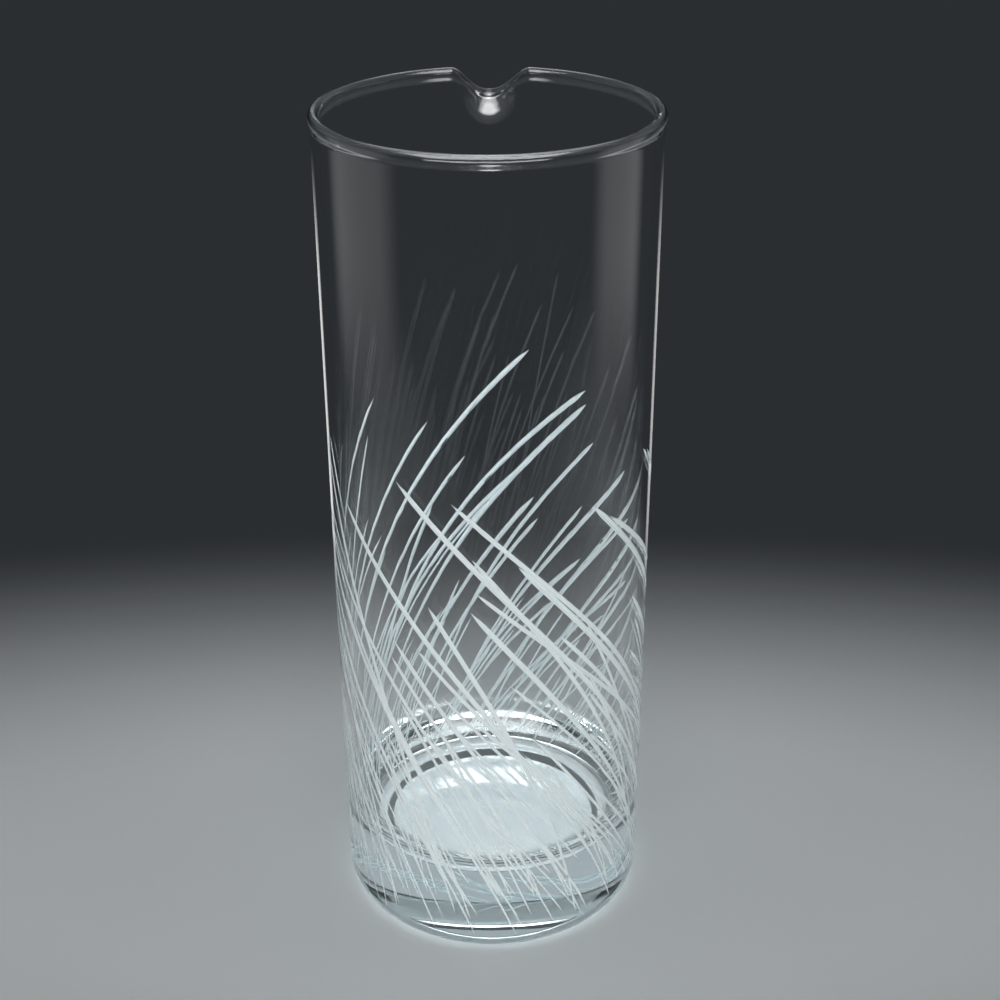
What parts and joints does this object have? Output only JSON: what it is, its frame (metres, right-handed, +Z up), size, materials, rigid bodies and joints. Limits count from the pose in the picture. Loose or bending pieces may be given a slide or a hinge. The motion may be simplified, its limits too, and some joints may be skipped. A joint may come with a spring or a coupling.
{
  "type": "pitcher",
  "caption": "Tall straight-sided glass mixing pitcher with a thick solid base, a fire-polished rim bead and a drawn pouring lip, for stirring and pouring cold drinks.",
  "frame": {"origin": "on the cylinder's axis, in the plane that the foot ring stands on", "axes": "+Z up along the cylinder's axis, +Y towards the pouring lip, +X to the right when the lip is at the far side"},
  "size_m": [0.0948, 0.1007, 0.25],
  "materials": {
    "glass": "clear soda-lime glass with a faint aqua cast, fire-polished, with matt wheel-cut grass blades outside"
  },
  "bodies": {
    "root": {"glass_body": "glass"}
  },
  "joints": []
}
